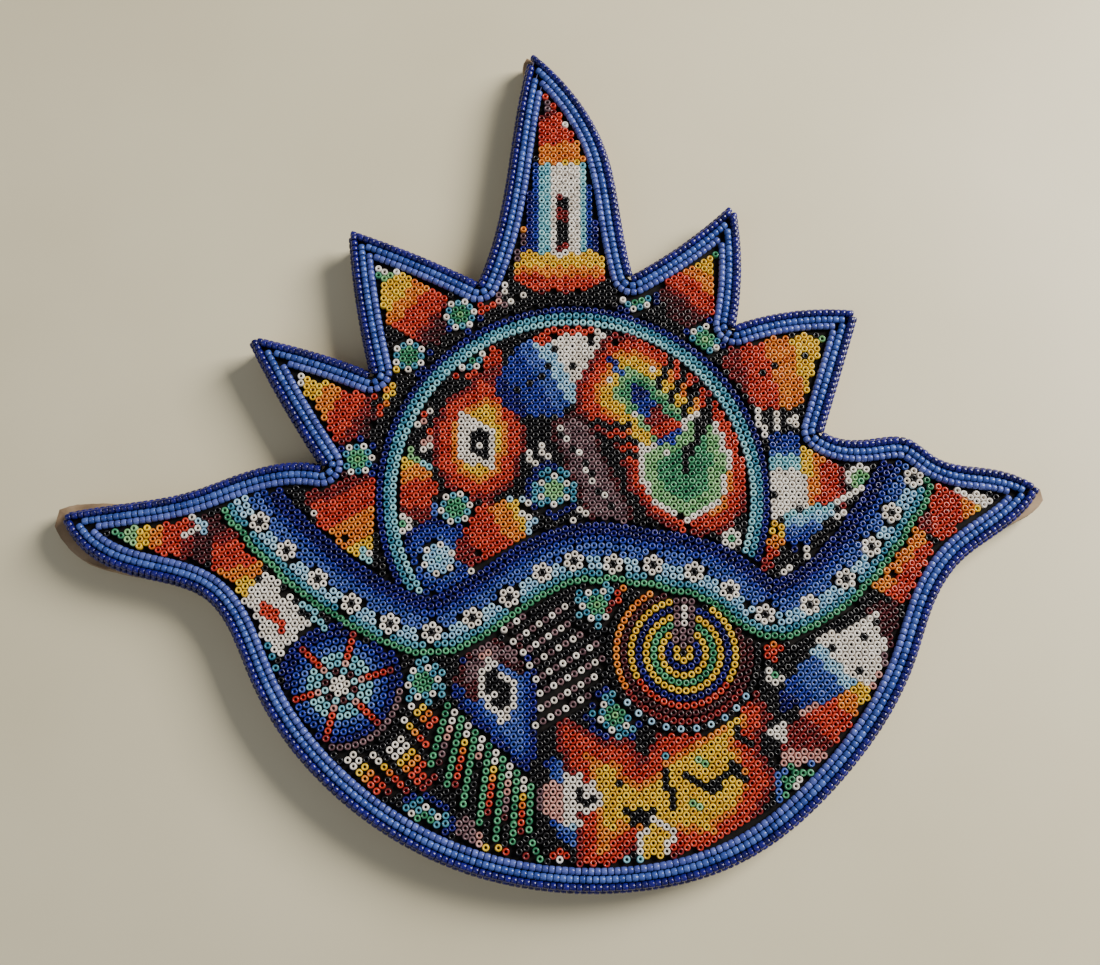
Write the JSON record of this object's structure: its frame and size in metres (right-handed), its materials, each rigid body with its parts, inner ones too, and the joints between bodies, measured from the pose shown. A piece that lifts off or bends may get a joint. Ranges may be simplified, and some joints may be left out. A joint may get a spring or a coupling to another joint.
{
  "type": "beaded sun plaque",
  "caption": "Flat sun plaque: a wooden board covered with wax and pressed glass seed beads, with rays, a disc, a wave band and a bowl-shaped lower half.",
  "frame": {"origin": "middle of the board's flat back, level with the back face", "axes": "+Z out of the beaded face, +Y towards the top ray, +X to the right seen from the beaded side"},
  "size_m": [0.2512, 0.2237, 0.0106],
  "materials": {
    "beeswax": "soft dark wax",
    "glass_black": "opaque glossy glass",
    "glass_blue": "opaque glossy glass",
    "glass_dark_red": "opaque glossy glass",
    "glass_green": "opaque glossy glass",
    "glass_light_green": "opaque glossy glass",
    "glass_maroon": "opaque glossy glass",
    "glass_mauve": "opaque glossy glass",
    "glass_navy": "opaque glossy glass",
    "glass_orange": "opaque glossy glass",
    "glass_pink": "opaque glossy glass",
    "glass_red": "opaque glossy glass",
    "glass_royal": "opaque glossy glass",
    "glass_sky": "opaque glossy glass",
    "glass_steel": "opaque glossy glass",
    "glass_turquoise": "opaque glossy glass",
    "glass_white": "opaque glossy glass",
    "glass_yellow": "opaque glossy glass",
    "glass_periwinkle": "opaque glossy glass",
    "thread": "twisted nylon",
    "raw_wood": "sawn, unsealed"
  },
  "bodies": {
    "root": {"beeswax_layer": "beeswax", "bowl_black_beads": "glass_black", "bowl_blue_beads": "glass_blue", "bowl_dark_red_beads": "glass_dark_red", "bowl_green_beads": "glass_green", "bowl_light_green_beads": "glass_light_green", "bowl_maroon_beads": "glass_maroon", "bowl_mauve_beads": "glass_mauve", "bowl_navy_beads": "glass_navy", "bowl_orange_beads": "glass_orange", "bowl_pink_beads": "glass_pink", "bowl_red_beads": "glass_red", "bowl_royal_beads": "glass_royal", "bowl_sky_beads": "glass_sky", "bowl_steel_beads": "glass_steel", "bowl_turquoise_beads": "glass_turquoise", "bowl_white_beads": "glass_white", "bowl_yellow_beads": "glass_yellow", "rays_black_beads": "glass_black", "rays_blue_beads": "glass_blue", "rays_dark_red_beads": "glass_dark_red", "rays_green_beads": "glass_green", "rays_light_green_beads": "glass_light_green", "rays_maroon_beads": "glass_maroon", "rays_mauve_beads": "glass_mauve", "rays_navy_beads": "glass_navy", "rays_orange_beads": "glass_orange", "rays_pink_beads": "glass_pink", "rays_red_beads": "glass_red", "rays_royal_beads": "glass_royal", "rays_sky_beads": "glass_sky", "rays_steel_beads": "glass_steel", "rays_turquoise_beads": "glass_turquoise", "rays_white_beads": "glass_white", "rays_yellow_beads": "glass_yellow", "rim_blue_beads": "glass_blue", "rim_navy_beads": "glass_navy", "rim_periwinkle_beads": "glass_periwinkle", "rim_side_navy_beads": "glass_navy", "rim_threads": "thread", "sun_black_beads": "glass_black", "sun_blue_beads": "glass_blue", "sun_dark_red_beads": "glass_dark_red", "sun_green_beads": "glass_green", "sun_light_green_beads": "glass_light_green", "sun_maroon_beads": "glass_maroon", "sun_mauve_beads": "glass_mauve", "sun_navy_beads": "glass_navy", "sun_orange_beads": "glass_orange", "sun_pink_beads": "glass_pink", "sun_red_beads": "glass_red", "sun_royal_beads": "glass_royal", "sun_sky_beads": "glass_sky", "sun_steel_beads": "glass_steel", "sun_turquoise_beads": "glass_turquoise", "sun_white_beads": "glass_white", "sun_yellow_beads": "glass_yellow", "wood_board": "raw_wood"}
  },
  "joints": []
}
